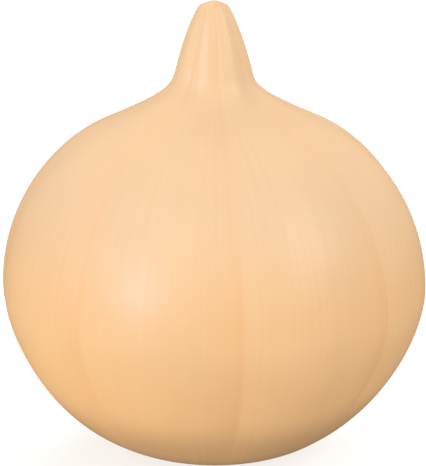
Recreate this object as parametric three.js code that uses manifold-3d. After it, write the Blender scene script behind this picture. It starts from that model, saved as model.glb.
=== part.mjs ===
// A whole onion: a round bulb with eight shallow gores, drawn up into a blunt fluted neck,
// standing on the trimmed root tuft that grows from its underside.
// Millimetres, +Z up. The origin is the middle of the flat spot that the onion stands on.
// Angles round the axis start at -Y and grow towards +X.

import * as THREE from "three";
import { mergeVertices } from "three/addons/utils/BufferGeometryUtils.js";
import Module from "manifold-3d";

const { degToRad, lerp, smoothstep, seededRandom } = THREE.MathUtils;

// Stations of the bulb's profile, from the ground up: radius from the axis, height above the ground,
// heading of the curve in degrees (0 is outwards, 90 is up, 180 is inwards), and the length for which
// the curve holds that heading before and after the station.
const DISH = { radius: 7, height: 3, heading: -40, before: 0, after: 1.5 };
const FOOT = { radius: 10.7, height: 1, heading: 6.6, before: 1.5, after: 16.8 };
const BELLY = { radius: 37.6, height: 30.6, heading: 90, before: 9, after: 14 };
const SHOULDER = { radius: 21, height: 58.7, heading: 154.5, before: 8.4, after: 12 };
const NECK = { radius: 6.8, height: 68.8, heading: 103.8, before: 3.4, after: 3.3 };
const TIP = { radius: 2.65, height: 80.25, heading: 122, before: 3.4, after: 0.3 };
const CROWN = { radius: 0, height: 81.3, heading: 180, before: 0.5, after: 0 };

// Gores: lobes between creases that run from the foot to the tip. The depths are shares of the radius.
const GORES = 8;
const FIRST_CREASE = degToRad(7.5);
const LOBE_DEPTH = 0.034;
const GORE_DEPTH = 0.018;
const FLUTE_DEPTH = 0.05;

// Root plate: a corky disc with a flat cut face, under the roof of the dish in the bulb's underside
const PLATE_CUT_RADIUS = 5.6;
const PLATE_RIM_RADIUS = 6.4;
const PLATE_RIM_HEIGHT = 1;
const PLATE_CLEARANCE = 0.4;
const PLATE_TOP = DISH.height - PLATE_CLEARANCE;

// Roots: short trimmed stubs that spread out and down from the rim of the plate, clear of the dish
const ROOTS = 30;
const ROOT_BASE_RADIUS = 0.5;
const ROOT_END_RADIUS = 0.32;
const ROOT_START = 4.8;
const ROOT_REACH = { least: 7.6, most: 8.8 };
const ROOT_START_HEIGHT = { least: 1.1, most: 1.8 };
const ROOT_END_HEIGHT = { least: 0.42, most: 0.8 };
const ROOT_JITTER = 0.6;
const ROOT_SEED = 11;

// Fineness of the faceted surfaces
const SEGMENTS_PER_GORE = 8;
const STEPS_PER_CURVE = 8;
const PLATE_SEGMENTS = 40;
const ROOT_SIDES = 6;

const SKIN = new THREE.MeshStandardMaterial({ color: 0xf3c597, roughness: 0.5, metalness: 0 });
const CORK = new THREE.MeshStandardMaterial({ color: 0xb08455, roughness: 0.9, metalness: 0 });

const wasm = await Module();
wasm.setup();

// The point that lies a distance from a station along its heading
function along(station, distance) {
  const heading = degToRad(station.heading);
  const radius = station.radius + distance * Math.cos(heading);
  const height = station.height + distance * Math.sin(heading);
  return [radius, height];
}

// Outline of the bulb from the axis over the roof of the dish, round the outside, to the axis at the crown
function bulbProfile() {
  const stations = [DISH, FOOT, BELLY, SHOULDER, NECK, TIP, CROWN];
  const outline = new THREE.Path();
  outline.moveTo(0, DISH.height);
  outline.lineTo(DISH.radius, DISH.height);
  for (let i = 1; i < stations.length; i += 1) {
    const from = stations[i - 1];
    const to = stations[i];
    outline.bezierCurveTo(...along(from, from.after), ...along(to, -to.before), to.radius, to.height);
  }
  return outline.getPoints(STEPS_PER_CURVE);
}

// Share of the radius that is lost: none along a gore's middle, most along its creases.
// It fades out at the foot. Above that the gores are plump lobes, then shallow on the belly,
// and they deepen into flutes on the neck.
function creaseLoss(angle, height) {
  const turns = ((angle - FIRST_CREASE) / (2 * Math.PI)) * GORES;
  const fromMiddle = Math.abs(2 * (turns - Math.floor(turns)) - 1);
  const aboveFoot = smoothstep(height, FOOT.height, BELLY.height / 2);
  const onBelly = smoothstep(height, BELLY.height / 2, BELLY.height);
  const onNeck = smoothstep(height, SHOULDER.height, NECK.height);
  const depth = lerp(lerp(LOBE_DEPTH, GORE_DEPTH, onBelly), FLUTE_DEPTH, onNeck);
  return depth * aboveFoot * fromMiddle ** 2;
}

// Shared vertices merged, with only their positions left, so that the surface closes at seams and poles
function closed(geometry) {
  geometry.deleteAttribute("normal");
  geometry.deleteAttribute("uv");
  return mergeVertices(geometry);
}

// A lathe turns about Y with its angle measured from Z: once stood up, that is from -Y towards +X
function standUp(geometry) {
  return geometry.rotateX(Math.PI / 2);
}

function bulbGeometry() {
  const geometry = new THREE.LatheGeometry(bulbProfile(), GORES * SEGMENTS_PER_GORE, FIRST_CREASE);
  const { position } = geometry.attributes;
  for (let i = 0; i < position.count; i += 1) {
    const angle = Math.atan2(position.getX(i), position.getZ(i));
    const kept = 1 - creaseLoss(angle, position.getY(i));
    position.setX(i, position.getX(i) * kept);
    position.setZ(i, position.getZ(i) * kept);
  }
  return standUp(closed(geometry));
}

function solidOf(geometry) {
  const { index, attributes } = closed(geometry);
  const vertProperties = attributes.position.array;
  const triVerts = Uint32Array.from(index.array);
  return new wasm.Manifold(new wasm.Mesh({ numProp: 3, vertProperties, triVerts }));
}

function geometryOf(solid) {
  const { vertProperties, triVerts } = solid.getMesh();
  const geometry = new THREE.BufferGeometry();
  geometry.setAttribute("position", new THREE.BufferAttribute(vertProperties, 3));
  geometry.setIndex(new THREE.BufferAttribute(triVerts, 1));
  return geometry;
}

function rootPlate() {
  const outline = [
    new THREE.Vector2(0, 0),
    new THREE.Vector2(PLATE_CUT_RADIUS, 0),
    new THREE.Vector2(PLATE_RIM_RADIUS, PLATE_RIM_HEIGHT),
    new THREE.Vector2(PLATE_RIM_RADIUS, PLATE_TOP),
    new THREE.Vector2(0, PLATE_TOP),
  ];
  return standUp(new THREE.LatheGeometry(outline, PLATE_SEGMENTS));
}

// A tapered stub that starts inside the plate and points outwards at one angle round the axis
function root(angle) {
  const between = (range) => lerp(range.least, range.most, seededRandom());
  const outwards = new THREE.Vector3(Math.sin(angle), -Math.cos(angle), 0);
  const start = outwards.clone().multiplyScalar(ROOT_START).setZ(between(ROOT_START_HEIGHT));
  const end = outwards.clone().multiplyScalar(between(ROOT_REACH)).setZ(between(ROOT_END_HEIGHT));
  const run = end.clone().sub(start);
  const stub = new THREE.CylinderGeometry(ROOT_END_RADIUS, ROOT_BASE_RADIUS, run.length(), ROOT_SIDES);
  const turn = new THREE.Quaternion().setFromUnitVectors(THREE.Object3D.DEFAULT_UP, run.clone().normalize());
  const middle = start.clone().lerp(end, 0.5);
  return stub.applyQuaternion(turn).translate(middle.x, middle.y, middle.z);
}

function rootTuftGeometry() {
  seededRandom(ROOT_SEED);
  let tuft = solidOf(rootPlate());
  for (let i = 0; i < ROOTS; i += 1) {
    const stray = ROOT_JITTER * (seededRandom() - 0.5);
    tuft = tuft.add(solidOf(root(((i + stray) / ROOTS) * 2 * Math.PI)));
  }
  return geometryOf(tuft);
}

function part(name, geometry, material) {
  const mesh = new THREE.Mesh(geometry, material);
  mesh.name = name;
  return mesh;
}

const onion = new THREE.Group();
onion.add(part("bulb", bulbGeometry(), SKIN));
onion.add(part("root_tuft", rootTuftGeometry(), CORK));

export default onion;
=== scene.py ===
# %% [markdown]
# # An onion, dressed in Blender
# The CAD part gives a whole onion at its real size: a bulb with eight shallow gores, drawn up into a
# blunt neck, and a tuft of trimmed roots that it stands on. This lesson gives both their living
# surface: dry, silky skin with veins that run from the roots to the neck, and a corky root plate with
# a fringe of bent roots. Everything is in metres and in the CAD part's own frame, so a piece that is
# worked out from the same sizes is already in its place.

import math
from collections import namedtuple

import bpy
import numpy as np
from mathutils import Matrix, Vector


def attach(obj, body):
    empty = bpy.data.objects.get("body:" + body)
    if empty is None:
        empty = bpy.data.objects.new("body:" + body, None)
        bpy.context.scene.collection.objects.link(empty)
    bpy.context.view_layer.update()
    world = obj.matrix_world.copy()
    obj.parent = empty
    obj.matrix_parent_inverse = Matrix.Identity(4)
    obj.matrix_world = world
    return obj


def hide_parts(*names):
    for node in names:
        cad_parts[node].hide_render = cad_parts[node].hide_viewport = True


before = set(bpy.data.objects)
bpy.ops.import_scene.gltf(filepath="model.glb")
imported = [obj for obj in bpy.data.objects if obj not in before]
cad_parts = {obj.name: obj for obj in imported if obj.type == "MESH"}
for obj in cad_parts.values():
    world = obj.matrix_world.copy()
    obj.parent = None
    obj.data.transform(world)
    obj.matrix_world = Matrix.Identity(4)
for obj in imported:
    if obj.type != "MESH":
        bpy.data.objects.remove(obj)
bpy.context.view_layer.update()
MM = 0.001


print("CAD nodes:", sorted(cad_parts))

# %% [markdown]
# ## The camera
# The photograph looks at the onion from the front and a little above. It stands far enough away for the
# perspective to be gentle, and the onion fills the frame from edge to edge. A camera could be placed by
# eye, but four plain numbers say more: how steeply it looks down, how far away it stands, the point that
# it aims at, and its focal length. The focal length is given in the photograph's own pixels, so the lens
# follows from the height of the picture.

# %% Camera
PHOTO_HEIGHT_PIXELS = 466
FOCAL_PIXELS = 2400
CAMERA_ELEVATION = math.radians(16.5)
CAMERA_DISTANCE = 423 * MM
CAMERA_AIM = Vector((-0.14, 0, 39.7)) * MM
CAMERA_NEAREST = 10 * MM

towards_camera = Vector((0, -math.cos(CAMERA_ELEVATION), math.sin(CAMERA_ELEVATION)))
camera = bpy.data.objects.new("camera", bpy.data.cameras.new("camera"))
camera.data.lens = FOCAL_PIXELS / PHOTO_HEIGHT_PIXELS * camera.data.sensor_width
camera.data.clip_start = CAMERA_NEAREST
camera.location = CAMERA_AIM + CAMERA_DISTANCE * towards_camera
camera.rotation_euler = (-towards_camera).to_track_quat("-Z", "Y").to_euler()
bpy.context.scene.collection.objects.link(camera)
bpy.context.scene.camera = camera
print(f"lens {camera.data.lens:.0f} mm, {CAMERA_DISTANCE:.3f} m from the onion's axis")

# %% [markdown]
# ## The studio
# The light in the photograph is soft and comes evenly from all round. Three broad lamps on top of it model
# the form: one low in front on the left, one high on the right, and one high behind. Two more leave a soft
# sheen each: a cool one on the left and a weak one on the right. The all-round light is the world here, and
# each lamp is a square panel that faces the onion. A real lamp does both, but here some panels only shade
# and some only shine, so that form and sheen can be set apart. The colours are seen through the plain
# Standard view, which keeps a pale peach as pale as it is.

# %% Panels of light
WORLD_LIGHT = 0.695
MIRRORED_SHARE = 0.12
PANEL_DISTANCE = 0.9
WHITE_LIGHT = (1.0, 1.0, 1.0)
COOL_LIGHT = (0.6, 0.66, 1.0)

Panel = namedtuple("Panel", "azimuth elevation side strength colour shades shines")
PANELS = {
    "left_panel": Panel(-50, 5, 0.14, 0.41, WHITE_LIGHT, True, False),
    "right_panel": Panel(64, 38, 0.50, 0.35, WHITE_LIGHT, True, False),
    "back_panel": Panel(180, 45, 0.40, 0.39, WHITE_LIGHT, True, False),
    "left_sheen": Panel(-43, 12.5, 0.26, 0.36, COOL_LIGHT, False, True),
    "right_sheen": Panel(60, 31, 0.30, 0.07, WHITE_LIGHT, False, True),
}


def direction(azimuth, elevation):
    """Unit vector from the onion: azimuth in degrees from -Y towards +X, elevation in degrees above level."""
    turn, rise = math.radians(azimuth), math.radians(elevation)
    return Vector((math.sin(turn) * math.cos(rise), -math.cos(turn) * math.cos(rise), math.sin(rise)))


def light_panel(name, panel):
    """A square panel that faces the bulb's middle. On a white card that faces it, it leaves a brightness
    of strength: power = strength x (pi x distance) squared."""
    towards = direction(panel.azimuth, panel.elevation)
    lamp = bpy.data.lights.new(name, "AREA")
    lamp.size = panel.side
    lamp.color = panel.colour
    lamp.energy = panel.strength * (math.pi * PANEL_DISTANCE) ** 2
    holder = bpy.data.objects.new(name, lamp)
    holder.location = CAMERA_AIM + PANEL_DISTANCE * towards
    holder.rotation_euler = (-towards).to_track_quat("-Z", "Y").to_euler()
    holder.visible_diffuse = panel.shades
    holder.visible_glossy = panel.shines
    bpy.context.scene.collection.objects.link(holder)
    return lamp.energy


for name, panel in PANELS.items():
    print(f"{name}: {light_panel(name, panel):.2f} W")
bpy.context.scene.view_settings.view_transform = "Standard"

# %% Helpers for shader nodes
def add(tree, kind, **settings):
    """One node of a tree, with its settings."""
    made = tree.nodes.new(kind)
    for name, value in settings.items():
        setattr(made, name, value)
    return made


def give(tree, socket, value):
    """Links a socket to a value that is itself a socket, and sets it to any other."""
    if isinstance(value, bpy.types.NodeSocket):
        tree.links.new(value, socket)
    else:
        socket.default_value = value


def feed(tree, node, **inputs):
    """Gives a node's inputs their values by name. Words in a socket's name are joined by _ here."""
    for name, value in inputs.items():
        give(tree, node.inputs[name.replace("_", " ")], value)
    return node


def math_node(tree, operation, first, second):
    """The result of one sum on two numbers or sockets."""
    made = add(tree, "ShaderNodeMath", operation=operation)
    for socket, value in zip(made.inputs, (first, second)):
        give(tree, socket, value)
    return made.outputs[0]


def spread(tree, value, low, high, to_low=0.0, to_high=1.0):
    """value carried from the range low..high to the range to_low..to_high, and held at its ends."""
    made = add(tree, "ShaderNodeMapRange")
    feed(tree, made, Value=value, From_Min=low, From_Max=high, To_Min=to_low, To_Max=to_high)
    return made.outputs["Result"]


def new_material(name):
    """A new material, its node tree and the shader in it."""
    made = bpy.data.materials.new(name)
    made.use_nodes = True
    return made, made.node_tree, made.node_tree.nodes["Principled BSDF"]


# %% World light
def studio_world():
    """A world that is equally bright all round. What the camera sees of it directly is white, and a shiny
    surface mirrors only a share of it."""
    world = bpy.data.worlds.new("studio")
    world.use_nodes = True
    tree = world.node_tree
    ray = add(tree, "ShaderNodeLightPath").outputs
    glow = spread(tree, ray["Is Glossy Ray"], 0.0, 1.0, WORLD_LIGHT, WORLD_LIGHT * MIRRORED_SHARE)
    glow = math_node(tree, "MAXIMUM", glow, ray["Is Camera Ray"])
    feed(tree, tree.nodes["Background"], Color=(1, 1, 1, 1), Strength=glow)
    return world


bpy.context.scene.world = studio_world()
print(f"world light {WORLD_LIGHT} from all round")

# %% [markdown]
# ## The floor
# A photographer would stand the onion on a sheet of white card. It is one large square here. The card glows
# a little, so that it stays white and the onion's shadow on it stays faint. It throws no light back up, and
# the world's own light from below stands for that.

# %% Floor
FLOOR_HALF = 4.0
FLOOR_WHITE = 0.4
FLOOR_GLOW = 0.72


def card_floor():
    """A flat square of glowing card at the height that the onion stands on."""
    corners = FLOOR_HALF * np.array([[-1, -1, 0], [1, -1, 0], [1, 1, 0], [-1, 1, 0]])
    mesh = bpy.data.meshes.new("floor")
    mesh.from_pydata(corners.tolist(), [], [[0, 1, 2, 3]])
    card, tree, shade = new_material("white_card")
    white = (FLOOR_WHITE, FLOOR_WHITE, FLOOR_WHITE, 1)
    feed(tree, shade, Base_Color=white, Roughness=1.0, Specular_IOR_Level=0.0)
    feed(tree, shade, Emission_Color=(1, 1, 1, 1), Emission_Strength=FLOOR_GLOW)
    mesh.materials.append(card)
    return bpy.data.objects.new("floor", mesh)


floor = card_floor()
floor.visible_diffuse = False
floor.visible_glossy = False
bpy.context.scene.collection.objects.link(floor)
print(f"floor {2 * FLOOR_HALF:.0f} m square")

# %% [markdown]
# ## The bulb's profile
# Half of an onion's outline is a curve from the dish under it, round the belly, over the shoulder and up
# the neck to the crown. It could be drawn with dozens of points, but a few stations are enough: at each
# one the curve has a place, a heading, and a length for which it holds that heading. Two neighbours with
# their headings are just what a cubic Bezier curve needs. The sizes, in millimetres, are the CAD bulb's own.

# %% Profile
Station = namedtuple("Station", "radius height heading before after")
DISH = Station(7.0, 3.0, -40, 0, 1.5)
FOOT = Station(10.7, 1.0, 6.6, 1.5, 16.8)
BELLY = Station(37.6, 30.6, 90, 9.0, 14.0)
SHOULDER = Station(21.0, 58.7, 154.5, 8.4, 12.0)
NECK = Station(6.8, 68.8, 103.8, 3.4, 3.3)
TIP = Station(2.65, 80.25, 122, 3.4, 0.3)
CROWN = Station(0.0, 81.3, 180, 0.5, 0)
STATIONS = (DISH, FOOT, BELLY, SHOULDER, NECK, TIP, CROWN)
ROOF_ROWS = 6
ROWS = (10, 44, 40, 28, 22, 14)


def along(station, distance):
    """The point that lies a distance from a station along its heading, as radius and height."""
    heading = math.radians(station.heading)
    return np.array([station.radius + distance * math.cos(heading),
                     station.height + distance * math.sin(heading)])


def bulb_profile():
    """Radius and height, in millimetres, of every ring of the skin except its two poles: a straight roof in
    the dish, then between each two stations the cubic Bezier curve
    s^3 A + 3 s^2 t B + 3 s t^2 C + t^3 D, with s = 1 - t, and with B and C on the stations' headings."""
    roof = np.linspace(0, DISH.radius, ROOF_ROWS, endpoint=False)[1:]
    stretches = [np.stack([roof, np.full_like(roof, DISH.height)], axis=1)]
    for start, end, rows in zip(STATIONS, STATIONS[1:], ROWS):
        t = np.linspace(0, 1, rows, endpoint=False)[:, None]
        s = 1 - t
        a, b, c, d = along(start, 0), along(start, start.after), along(end, -end.before), along(end, 0)
        stretches.append(s ** 3 * a + 3 * s ** 2 * t * b + 3 * s * t ** 2 * c + t ** 3 * d)
    return np.concatenate(stretches).T


profile_radius, profile_height = bulb_profile()
print(f"profile of {len(profile_radius)} rings, widest {profile_radius.max():.2f} mm from the axis")

# %% [markdown]
# ## The skin's form
# An onion's skin is a stack of leaves wrapped round each other. Each leaf's midrib and edges show through
# as shallow gores, its veins as fine ribs, and where the leaves dry and shrink, on the neck and round the
# roots, they gather into small pleats. All of these are heights above the plain profile, so each is a
# function of two numbers: the angle round the axis and the height. They could be painted as bump, but a
# rib that is in the mesh also shows on the outline and stays with the model when it leaves Blender.

# %% Gores
GORES = 8
FIRST_CREASE = math.radians(7.5)
LOBE_DEPTH = 0.034
GORE_DEPTH = 0.018
FLUTE_DEPTH = 0.05
CREASE_SOFTNESS = 0.02
# Angle over which the painted shade beside each crease fades.
CREASE_SHADE_WIDTH = math.radians(6)


def ease(x, low, high):
    """0 below low, 1 above high, and 3t^2 - 2t^3 between them."""
    t = np.clip((x - low) / (high - low), 0, 1)
    return t * t * (3 - 2 * t)


def crease_closeness(angle):
    """1 along a crease and 0 along a gore's middle. It falls off evenly on both sides, rounded near the
    crease: the distance d becomes sqrt(d^2 + s^2) - s."""
    turns = (angle - FIRST_CREASE) / (2 * math.pi) * GORES
    distance = 1 - np.abs(2 * (turns - np.floor(turns)) - 1)
    return 1 - np.sqrt(distance ** 2 + CREASE_SOFTNESS ** 2) + CREASE_SOFTNESS


def painted_crease_shade(angle):
    """Painted shade along one side of each crease: 1 on the near side of each crease. It fades backwards over
    the gore as exp(-d/w), and is almost 0 just past the crease."""
    behind = (FIRST_CREASE - angle) % (2 * math.pi / GORES)
    return np.exp(-behind / CREASE_SHADE_WIDTH)


def crease_loss(angle, height):
    """Share of the radius that a crease takes away: a depth times the closeness squared. The depth fades out
    at the foot, is most in the lobes above it, little on the belly, and grows to a flute's on the neck."""
    depth = LOBE_DEPTH + (GORE_DEPTH - LOBE_DEPTH) * ease(height, BELLY.height / 2, BELLY.height)
    depth = depth + (FLUTE_DEPTH - GORE_DEPTH) * ease(height, SHOULDER.height, NECK.height)
    return depth * ease(height, FOOT.height, BELLY.height / 2) * crease_closeness(angle) ** 2


print(f"creases every {360 / GORES:.0f} degrees, {GORE_DEPTH * BELLY.radius:.2f} mm deep at the belly")

# %% Veins
VEINS = 88
VEIN_SEED = 5
VEIN_SCATTER = 0.35
VEIN_STRENGTHS = (0.35, 0.8)
VEIN_SWELL = 0.2
VEIN_SWELL_HEIGHT = 9.0
VEIN_HALF_WIDTH = math.radians(0.75)
VEIN_RISE = 0.016
VEIN_SWAY = math.radians(0.9)
VEIN_SWAYS = 3


def vein_ridges(angle, height):
    """1 on the crest of a strong vein and 0 between veins. The veins stand at scattered angles. Each one is a
    bell curve exp(-(d/w)^2) of the angle d from it, with a strength that swells and fades with height.
    All of them sway a little together, as a sine of the angle times a sine of the height."""
    draw = np.random.default_rng(VEIN_SEED)
    places = 2 * math.pi * (np.arange(VEINS) + draw.uniform(-VEIN_SCATTER, VEIN_SCATTER, VEINS)) / VEINS
    strengths = draw.uniform(*VEIN_STRENGTHS, VEINS)
    phases = draw.uniform(0, 2 * math.pi, VEINS)
    sway = np.sin(VEIN_SWAYS * angle) * np.sin(2 * math.pi * height / SHOULDER.height)
    swayed = angle + VEIN_SWAY * sway
    nearest = np.rint(swayed / (2 * math.pi) * VEINS).astype(int)
    ridge = np.zeros_like(swayed)
    for neighbour in (-1, 0, 1):
        vein = (nearest + neighbour) % VEINS
        away = (swayed - places[vein] + math.pi) % (2 * math.pi) - math.pi
        swell = strengths[vein] + VEIN_SWELL * np.sin(height / VEIN_SWELL_HEIGHT + phases[vein])
        ridge = np.maximum(ridge, swell * np.exp(-(away / VEIN_HALF_WIDTH) ** 2))
    return ridge


print(f"{VEINS} veins, about {2 * math.pi * BELLY.radius / VEINS:.1f} mm apart at the belly")

# %% Pleats
NECK_PLEATS = 24
NECK_PLEAT_RISE = 0.025
NECK_TWIST_HEIGHT = 6.0
FOOT_PLEATS = 40
FOOT_PLEAT_RISE = 0.12
FOOT_PLEAT_REACH = 17.0
FOOT_TWIST_RADIUS = 8.0
PLEAT_DRIFTS = ((0.9, 5, 1.3), (0.6, 3, 0.4))
SLOW_SWELL = 0.10
SWELL_RISE, SWELL_LEAN = 17.0, 29.0


def pleats(angle, count, twist):
    """Uneven ridges round the axis: a sine with count crests, turned by twist. Its crests are pushed to and
    fro by slower sines, each with a reach, a number of waves and a phase."""
    uneven = sum(reach * np.sin(waves * angle + phase) for reach, waves, phase in PLEAT_DRIFTS)
    return np.sin(count * angle + uneven + twist)


def skin_relief(angle, height, radius):
    """Height of the fine relief above the gored surface, in millimetres: veins that thin out with the radius,
    pleats on the neck and round the foot, and a slow uneven swell."""
    belly_share = radius / BELLY.radius
    veins = VEIN_RISE * vein_ridges(angle, height) * belly_share
    on_neck = ease(height, SHOULDER.height, TIP.height) * ease(radius, 0, TIP.radius)
    neck = NECK_PLEAT_RISE * on_neck * pleats(angle, NECK_PLEATS, height / NECK_TWIST_HEIGHT)
    near_foot = 1 - ease(radius, FOOT.radius, FOOT_PLEAT_REACH)
    under = near_foot * (height < BELLY.height) * ease(radius, 0, DISH.radius)
    foot = FOOT_PLEAT_RISE * under * pleats(angle, FOOT_PLEATS, radius / FOOT_TWIST_RADIUS)
    uneven = np.sin(2 * angle + height / SWELL_RISE) * np.cos(angle - height / SWELL_LEAN)
    return veins + neck + foot + SLOW_SWELL * belly_share * uneven


print(f"pleats: {NECK_PLEATS} up the neck, {FOOT_PLEATS} round the foot")

# %% Skin surface
COLUMNS = 576


def skin_surface():
    """Points of the skin on a grid of rings and columns, in metres, with the grid's angles and heights in mm:
    profile radius x (1 - crease loss) round the axis, then moved along the profile's normal by the relief."""
    angle = np.linspace(0, 2 * math.pi, COLUMNS, endpoint=False)[None, :]
    radius, height = profile_radius[:, None], profile_height[:, None]
    slope_r, slope_z = np.gradient(profile_radius), np.gradient(profile_height)
    length = np.hypot(slope_r, slope_z)
    normal_r, normal_z = (slope_z / length)[:, None], (-slope_r / length)[:, None]
    relief = skin_relief(angle, height, radius)
    out = radius * (1 - crease_loss(angle, height)) + relief * normal_r
    up = height + relief * normal_z
    return MM * np.stack([out * np.sin(angle), -out * np.cos(angle), up], axis=-1), angle, height


skin_points, skin_angle, skin_height = skin_surface()
print("skin grid:", skin_points.shape[:2], "rings and columns")

# %% [markdown]
# ## From a grid to a mesh
# Every surface here is a grid whose rings close on themselves, so its faces need no modelling: they follow
# from counting. Neighbouring points of two rings make a quad, and a fan of triangles closes each end.

# %% Helpers that put a grid into a mesh
def ring_quads(rows, columns):
    """Corner numbers of the quads between neighbouring rings, each ring closed on itself."""
    ring = np.arange(columns)
    after = np.roll(ring, -1)
    first = np.arange(rows - 1)[:, None] * columns
    corners = [first + ring, first + after, first + columns + after, first + columns + ring]
    return np.stack(corners, axis=-1).reshape(-1, 4)


def fan(pole, ring, outwards):
    """Corner numbers of the triangles that close a ring with one point, the pole."""
    after = np.roll(ring, -1)
    middle = np.full_like(ring, pole)
    sides = (ring, after) if outwards else (after, ring)
    return np.stack([middle, *sides], axis=-1)


def new_piece(name, points, faces, material):
    """A smooth-shaded mesh object at the origin, with its place in its points."""
    mesh = bpy.data.meshes.new(name)
    mesh.from_pydata(points.tolist(), [], faces)
    mesh.shade_smooth()
    mesh.materials.append(material)
    mesh.validate()
    piece = bpy.data.objects.new(name, mesh)
    bpy.context.scene.collection.objects.link(piece)
    return piece


def turned_piece(name, points, low, high, material):
    """A grid of rings about the axis as a closed piece, with a pole on the axis at each end."""
    rows, columns = points.shape[:2]
    poles = MM * np.array([[0, 0, low], [0, 0, high]])
    ring, below = np.arange(columns), rows * columns
    faces = ring_quads(rows, columns).tolist()
    faces += fan(below, ring, outwards=False).tolist()
    faces += fan(below + 1, ring + (rows - 1) * columns, outwards=True).tolist()
    return new_piece(name, np.concatenate([points.reshape(-1, 3), poles]), faces, material)


def paint(piece, name, values):
    """A named number on each point of a piece, for its material to read."""
    layer = piece.data.attributes.new(name, "FLOAT", "POINT")
    layer.data.foreach_set("value", np.ascontiguousarray(values, dtype=np.float32).ravel())


# %% [markdown]
# ## Effects that the finishes share
# Skin, root plate and roots are all dried plant tissue. All of them have fibres that run from the roots
# towards the neck, and all of them are mottled. Each of those effects is one node group, made once and
# placed in each material with its own values. The fibres are noise, read at a place that is squeezed onto
# a ring round the axis, so it hardly changes with height and draws streaks that meet at the poles.

# %% Node groups
def new_group(name, inputs, output):
    """An empty shader node group with named number inputs and one number output."""
    tree = bpy.data.node_groups.new(name, "ShaderNodeTree")
    for socket, value in inputs.items():
        made = tree.interface.new_socket(socket, in_out="INPUT", socket_type="NodeSocketFloat")
        made.default_value = value
    tree.interface.new_socket(output, in_out="OUTPUT", socket_type="NodeSocketFloat")
    return tree, add(tree, "NodeGroupInput").outputs, add(tree, "NodeGroupOutput").inputs[output]


def own_place(tree):
    """X, Y and Z of each point in the piece's own space."""
    place = add(tree, "ShaderNodeTexCoord").outputs["Object"]
    return feed(tree, add(tree, "ShaderNodeSeparateXYZ"), Vector=place).outputs


def fibre_group():
    """Streaks from the roots to the neck: noise at (x/r, y/r) x Count and z x Drift."""
    tree, given, result = new_group("dry_fibres", {"Count": 30.0, "Drift": 40.0}, "Fibres")
    place = own_place(tree)
    level = feed(tree, add(tree, "ShaderNodeCombineXYZ"), X=place["X"], Y=place["Y"]).outputs["Vector"]
    ring = add(tree, "ShaderNodeVectorMath", operation="NORMALIZE")
    feed(tree, ring, Vector=level)
    spun = add(tree, "ShaderNodeVectorMath", operation="SCALE")
    feed(tree, spun, Vector=ring.outputs["Vector"], Scale=given["Count"])
    flat = feed(tree, add(tree, "ShaderNodeSeparateXYZ"), Vector=spun.outputs["Vector"]).outputs
    rise = math_node(tree, "MULTIPLY", place["Z"], given["Drift"])
    where = feed(tree, add(tree, "ShaderNodeCombineXYZ"), X=flat["X"], Y=flat["Y"], Z=rise).outputs["Vector"]
    noise = feed(tree, add(tree, "ShaderNodeTexNoise"), Vector=where, Scale=1.0, Detail=3.0, Roughness=0.6)
    tree.links.new(noise.outputs["Fac"], result)
    return tree


def mottle_group():
    """Soft blotches with finer ones in them: noise over the object's own space at Scale."""
    tree, given, result = new_group("mottle", {"Scale": 100.0}, "Mottle")
    place = add(tree, "ShaderNodeTexCoord").outputs["Object"]
    noise = feed(tree, add(tree, "ShaderNodeTexNoise"), Vector=place, Scale=given["Scale"], Detail=4.0)
    tree.links.new(noise.outputs["Fac"], result)
    return tree


FIBRES, MOTTLE = fibre_group(), mottle_group()


def effect(tree, group, **inputs):
    """A shared effect placed in a material with its own values."""
    return feed(tree, add(tree, "ShaderNodeGroup", node_tree=group), **inputs).outputs[0]


print("node groups:", FIBRES.name, MOTTLE.name)

# %% Helpers for finishes
NOISE_SPAN = (0.3, 0.7)
NEW_STOP = 0.5


def mix_colour(tree, share, first, second, blend="MIX"):
    """Two colours, each three numbers or a socket, mixed by a share."""
    made = add(tree, "ShaderNodeMix", data_type="RGBA", blend_type=blend, clamp_result=False)
    sockets = {s.identifier: s for s in made.inputs}
    give(tree, sockets["Factor_Float"], share)
    for identifier, colour in {"A_Color": first, "B_Color": second}.items():
        give(tree, sockets[identifier], colour if isinstance(colour, bpy.types.NodeSocket) else (*colour, 1))
    return next(s for s in made.outputs if s.identifier == "Result_Color")


def height_colours(tree, stops, top):
    """A colour that changes with the height above the ground. stops are (height, colour), lowest first."""
    ramp = add(tree, "ShaderNodeValToRGB")
    feed(tree, ramp, Fac=spread(tree, own_place(tree)["Z"], 0.0, top * MM))
    ramp.color_ramp.interpolation = "EASE"
    elements = ramp.color_ramp.elements
    while len(elements) < len(stops):
        elements.new(NEW_STOP)
    for element, (height, colour) in zip(elements, stops):
        element.position = height / top
        element.color = (*colour, 1)
    return ramp.outputs["Color"]


def point_value(tree, name):
    """A number that a piece carries on its points."""
    return add(tree, "ShaderNodeAttribute", attribute_name=name).outputs["Fac"]


def bump(tree, height, strength, depth):
    """The surface's normal, tilted by a height in it."""
    made = add(tree, "ShaderNodeBump")
    return feed(tree, made, Strength=strength, Distance=depth, Height=height).outputs["Normal"]
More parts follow.
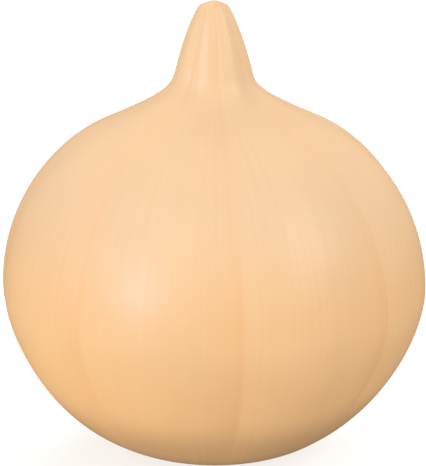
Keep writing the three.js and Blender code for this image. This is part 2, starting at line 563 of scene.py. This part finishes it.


# %% [markdown]
# ## The skin's finish
# The skin is pale peach and silky. It is palest on the shoulder and neck and warms to orange-tan low down,
# partly as its own browner base near the roots and partly as painted shade under the belly. One side of
# each crease is a deeper orange, which is painted shade, and the skin is a little deeper along the veins.
# One colour with a bump would look like plastic, so the colour comes from where each point is: its height,
# how near it is to a crease or a vein, and the fibres and blotches of the shared groups. The same fibres
# break up the gloss.

# %% Skin material
# Colour by height. The darkening below the belly is partly the skin's own browner base near the roots and
# partly painted shade.
SKIN_COLOURS_WITH_PAINTED_SHADE = (
    (0.0, (0.575, 0.32, 0.12)),
    (8.0, (0.73, 0.40, 0.155)),
    (17.0, (0.98, 0.555, 0.23)),
    (32.0, (0.955, 0.57, 0.26)),
    (52.0, (0.935, 0.615, 0.35)),
    (CROWN.height, (0.925, 0.605, 0.33)),
)
# Painted shade along one side of each crease: the skin there is mixed towards a deeper orange.
CREASE_SHADE_COLOUR = (0.95, 0.47, 0.17)
CREASE_SHADE_SHARE = 0.35
VEIN_COLOUR = (0.93, 0.53, 0.24)
VEIN_SHARE = 0.12
SKIN_TONES = (0.985, 1.015)
SKIN_ROUGHNESS = (0.52, 0.45)
SKIN_GLOSS = 1.0
SKIN_BUMP = 0.06
SKIN_BUMP_DEPTH = 0.2 * MM


def skin_material():
    """Peach skin: colour by height, darker low down partly as painted shade, painted shade along one side of
    each crease, deeper by veins, with faint streaks and blotches.
    """
    made, tree, shade = new_material("onion_skin")
    fibres = effect(tree, FIBRES, Count=42.0, Drift=18.0)
    blotches = effect(tree, MOTTLE, Scale=70.0)
    # Colour by height, darker low down: partly the skin's own browner base, partly painted shade under the
    # belly.
    colour = height_colours(tree, SKIN_COLOURS_WITH_PAINTED_SHADE, CROWN.height)
    # Painted shade: one side of each crease is mixed towards a deeper orange.
    crease_shading = math_node(tree, "MULTIPLY", point_value(tree, "painted_crease_shade"), CREASE_SHADE_SHARE)
    colour = mix_colour(tree, crease_shading, colour, CREASE_SHADE_COLOUR)
    vein = math_node(tree, "MULTIPLY", point_value(tree, "vein"), VEIN_SHARE)
    colour = mix_colour(tree, vein, colour, VEIN_COLOUR)
    streaked = spread(tree, fibres, *NOISE_SPAN, *SKIN_TONES)
    clouded = spread(tree, blotches, *NOISE_SPAN, *SKIN_TONES)
    tone = math_node(tree, "MULTIPLY", streaked, clouded)
    grey = feed(tree, add(tree, "ShaderNodeCombineColor"), Red=tone, Green=tone, Blue=tone).outputs["Color"]
    colour = mix_colour(tree, 1.0, colour, grey, "MULTIPLY")
    normal = bump(tree, fibres, SKIN_BUMP, SKIN_BUMP_DEPTH)
    roughness = spread(tree, fibres, *NOISE_SPAN, *SKIN_ROUGHNESS)
    feed(tree, shade, Base_Color=colour, Normal=normal, Roughness=roughness, Specular_IOR_Level=SKIN_GLOSS)
    return made


# %% Skin piece
# How much the painted shade beside each crease fades towards the shoulder.
CREASE_SHADE_FADE = 0.7
POLE_VALUES = [0, 0]


def skin_piece():
    """The skin's grid closed in the dish and on the crown, with the numbers that its material reads. Painted
    shade along one side of each crease shows from above the foot, and fades towards the shoulder."""
    piece = turned_piece("onion_skin", skin_points, DISH.height, CROWN.height, skin_material())
    # Painted shade along one side of each crease, from above the foot and fading towards the shoulder.
    crease_shades = painted_crease_shade(skin_angle) * ease(skin_height, FOOT.height, BELLY.height / 2)
    crease_shades = crease_shades * (1 - CREASE_SHADE_FADE * ease(skin_height, BELLY.height, SHOULDER.height))
    paint(piece, "painted_crease_shade", np.append(crease_shades, POLE_VALUES))
    paint(piece, "vein", np.append(vein_ridges(skin_angle, skin_height), POLE_VALUES))
    return piece


skin = skin_piece()
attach(skin, "root")
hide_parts("bulb")
print("skin:", len(skin.data.polygons), "faces")

# %% [markdown]
# ## The root plate
# Under the bulb sits the plate that the leaves and the roots grow from. When the roots are trimmed, its cut
# face is left as a flat corky disc, and the onion stands on it. It is a profile turned about the axis, like
# the bulb. The cut face is not quite even: rings and hollows rise from it by a tenth of a millimetre, never
# below the ground.

# %% Root plate
CUT_RADIUS = 5.6
RIM_RADIUS = 6.4
RIM_HEIGHT = 1.0
PLATE_TOP = 2.6
PLATE_COLUMNS = 144
CUT_ROWS, RIM_ROWS, SIDE_ROWS, TOP_ROWS = 26, 5, 7, 6
CUT_HOLLOW = 0.14
CUT_EVEN_FROM = 0.8
RING_WAVES, RING_BENDS = 5.3, 3
SPOKES, SPOKE_BEND = 11, 2
RIM_RIPPLE = 0.09
RIM_RIPPLES, RIPPLE_LEAN = 37, 2
RIPPLE_DRIFT, RIPPLE_DRIFTS = 3, 4


def plate_surface():
    """Points of the root plate on a grid of rings and columns, in metres: the cut face, the slanted rim, the
    side and the top. Hollows on the cut face are a product of sines of the radius and the angle, and a sine
    of the angle ripples the rim. Both are carried to the range from 0 to 1."""
    cut = np.linspace(0, CUT_RADIUS, CUT_ROWS + 1)[1:]
    rim = np.linspace(0, 1, RIM_ROWS + 1)[1:]
    side = np.linspace(0, 1, SIDE_ROWS + 1)[1:]
    top = np.linspace(RIM_RADIUS, 0, TOP_ROWS + 2)[1:-1]
    slant = CUT_RADIUS + (RIM_RADIUS - CUT_RADIUS) * rim
    radius = np.concatenate([cut, slant, 0 * side + RIM_RADIUS, top])[:, None]
    wall = RIM_HEIGHT + (PLATE_TOP - RIM_HEIGHT) * side
    height = np.concatenate([0 * cut, RIM_HEIGHT * rim, wall, 0 * top + PLATE_TOP])[:, None]
    angle = np.linspace(0, 2 * math.pi, PLATE_COLUMNS, endpoint=False)[None, :]
    rings = np.sin(RING_WAVES * radius + np.sin(RING_BENDS * angle))
    spokes = np.sin(SPOKES * angle + SPOKE_BEND * np.sin(radius))
    on_cut = (height == 0) * (1 - ease(radius, CUT_EVEN_FROM * CUT_RADIUS, CUT_RADIUS))
    up = height + CUT_HOLLOW * on_cut * (1 + rings * spokes) / 2
    drift = RIPPLE_DRIFT * np.sin(RIPPLE_DRIFTS * angle)
    ripple = np.sin(RIM_RIPPLES * angle + drift + RIPPLE_LEAN * height)
    near_rim = ease(radius, CUT_RADIUS, RIM_RADIUS) * (height < PLATE_TOP)
    out = radius - RIM_RIPPLE * near_rim * (1 + ripple) / 2
    return MM * np.stack([out * np.sin(angle), -out * np.cos(angle), up], axis=-1)


plate_points = plate_surface()
print("root plate grid:", plate_points.shape[:2], "rings and columns")

# %% Cork material
CORK_DARK = (0.20, 0.105, 0.045)
CORK_LIGHT = (0.46, 0.29, 0.14)
CORK_FIBRE_SPAN = (0.2, 0.7)
CORK_FIBRE_TONES = (0.5, 1.0)
CORK_ROUGHNESS = (0.95, 0.8)
CORK_BUMP = 0.5
CORK_BUMP_DEPTH = 0.2 * MM


def cork_material():
    """Dull brown cork: dark and light tissue mixed by blotches, with fibres across it."""
    made, tree, shade = new_material("root_cork")
    blotches = effect(tree, MOTTLE, Scale=900.0)
    fibres = effect(tree, FIBRES, Count=22.0, Drift=300.0)
    streaks = spread(tree, fibres, *CORK_FIBRE_SPAN, *CORK_FIBRE_TONES)
    mixed = math_node(tree, "MULTIPLY", spread(tree, blotches, *NOISE_SPAN), streaks)
    colour = mix_colour(tree, mixed, CORK_DARK, CORK_LIGHT)
    normal = bump(tree, blotches, CORK_BUMP, CORK_BUMP_DEPTH)
    roughness = spread(tree, blotches, *NOISE_SPAN, *CORK_ROUGHNESS)
    feed(tree, shade, Base_Color=colour, Normal=normal, Roughness=roughness)
    return made


# %% Root plate piece
plate = turned_piece("root_plate", plate_points, 0, PLATE_TOP, cork_material())
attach(plate, "root")
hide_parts("root_tuft")
print("root plate:", len(plate.data.polygons), "faces")

# %% [markdown]
# ## The roots
# The trimmed roots stick out round the plate like a short, untidy beard. Each one is a thin tube about a
# bent path that leaves the plate, sags, sways to one side and ends before the rim of the dish. Fifty tubes
# could be modelled one by one. Worked out together as one array of roots, steps and sides, they are a few
# lines.

# %% Roots
ROOTS = 54
ROOT_STEPS = 18
ROOT_SIDES = 10
ROOT_SEED = 23
ROOT_SCATTER = 0.4
ROOT_START = 4.9
ROOT_REACH = (7.4, 8.6)
ROOT_SWAY, ROOT_SWAYS = (0.04, 0.14), 3
ROOT_PHASE = (0, 6)
ROOT_FIRST_HEIGHT = (0.75, 1.9)
ROOT_LAST_HEIGHT = (0.35, 1.0)
ROOT_SAG = (0.0, 0.15)
ROOT_THICKNESS = (0.24, 0.36)
ROOT_TAPER = 0.5
ROOT_KNOT, ROOT_KNOTS = 0.08, 9


def root_surfaces():
    """Points of all roots, in metres, as an array of roots, steps and sides, the two end points of each path,
    and one shade number each. With t from 0 to 1 along a root, its distance from the axis and its height go
    evenly from start to end, it sags as sin(pi t), and its angle sways as t sin(3t + phase). The tube's
    radius tapers evenly and swells a little at knots."""
    draw = np.random.default_rng(ROOT_SEED)
    many = (ROOTS, 1)
    t = np.linspace(0, 1, ROOT_STEPS)[None, :]
    stray = draw.uniform(-ROOT_SCATTER, ROOT_SCATTER, many)
    place = 2 * math.pi * (np.arange(ROOTS)[:, None] + stray) / ROOTS
    reach = draw.uniform(*ROOT_REACH, many)
    sway = draw.uniform(*ROOT_SWAY, many)
    phase = draw.uniform(*ROOT_PHASE, many)
    first = draw.uniform(*ROOT_FIRST_HEIGHT, many)
    last = draw.uniform(*ROOT_LAST_HEIGHT, many)
    out = ROOT_START + (reach - ROOT_START) * t
    angle = place + sway * t * np.sin(ROOT_SWAYS * t + phase)
    up = first + (last - first) * t - draw.uniform(*ROOT_SAG, many) * np.sin(math.pi * t)
    path = np.stack([out * np.sin(angle), -out * np.cos(angle), up], axis=-1)
    knots = 1 + ROOT_KNOT * np.sin(ROOT_KNOTS * t + phase)
    thick = draw.uniform(*ROOT_THICKNESS, many) * (1 - ROOT_TAPER * t) * knots
    along_root = np.gradient(path, axis=1)
    along_root /= np.linalg.norm(along_root, axis=-1, keepdims=True)
    aside = np.cross(along_root, [0, 0, 1])
    aside /= np.linalg.norm(aside, axis=-1, keepdims=True)
    above = np.cross(aside, along_root)
    turn = np.linspace(0, 2 * math.pi, ROOT_SIDES, endpoint=False)[:, None]
    rings = np.cos(turn) * aside[:, :, None] - np.sin(turn) * above[:, :, None]
    tubes = path[:, :, None] + thick[:, :, None, None] * rings
    return MM * tubes, MM * path[:, [0, -1]], draw.uniform(0, 1, ROOTS)


root_tubes, root_ends, root_shades = root_surfaces()
print(f"{ROOTS} roots, lowest point {root_tubes[..., 2].min() / MM:.2f} mm above the ground")

# %% Root material
ROOT_DARK = (0.34, 0.20, 0.09)
ROOT_LIGHT = (0.70, 0.52, 0.29)
ROOT_BLOTCHES = (-0.25, 0.25)
ROOT_ROUGHNESS = (0.85, 0.65)
ROOT_BUMP = 0.4
ROOT_BUMP_DEPTH = 0.1 * MM


def root_material():
    """Dry straw-coloured roots: each has its own shade, with fine blotches and fibres."""
    made, tree, shade = new_material("dry_roots")
    blotches = effect(tree, MOTTLE, Scale=1500.0)
    fibres = effect(tree, FIBRES, Count=60.0, Drift=400.0)
    patches = spread(tree, blotches, *NOISE_SPAN, *ROOT_BLOTCHES)
    mixed = math_node(tree, "ADD", point_value(tree, "shade"), patches)
    colour = mix_colour(tree, spread(tree, mixed, 0.0, 1.0), ROOT_DARK, ROOT_LIGHT)
    normal = bump(tree, fibres, ROOT_BUMP, ROOT_BUMP_DEPTH)
    roughness = spread(tree, fibres, *NOISE_SPAN, *ROOT_ROUGHNESS)
    feed(tree, shade, Base_Color=colour, Normal=normal, Roughness=roughness)
    return made


# %% Root piece
def roots_piece():
    """All root tubes as one piece, each tube closed at both ends by the end point of its path."""
    ring = np.arange(ROOT_SIDES)
    per_root = ROOT_STEPS * ROOT_SIDES + 2
    offset = (np.arange(ROOTS) * per_root)[:, None, None]
    tail = ring + (ROOT_STEPS - 1) * ROOT_SIDES
    ends = np.concatenate([fan(per_root - 2, ring, outwards=False), fan(per_root - 1, tail, outwards=True)])
    quads = (ring_quads(ROOT_STEPS, ROOT_SIDES) + offset).reshape(-1, 4)
    caps = (ends + offset).reshape(-1, 3)
    points = np.concatenate([root_tubes.reshape(ROOTS, -1, 3), root_ends], axis=1).reshape(-1, 3)
    piece = new_piece("roots", points, quads.tolist() + caps.tolist(), root_material())
    paint(piece, "shade", np.repeat(root_shades, per_root))
    return piece


roots = roots_piece()
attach(roots, "root")
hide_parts("root_tuft")
print("roots:", len(roots.data.polygons), "faces")
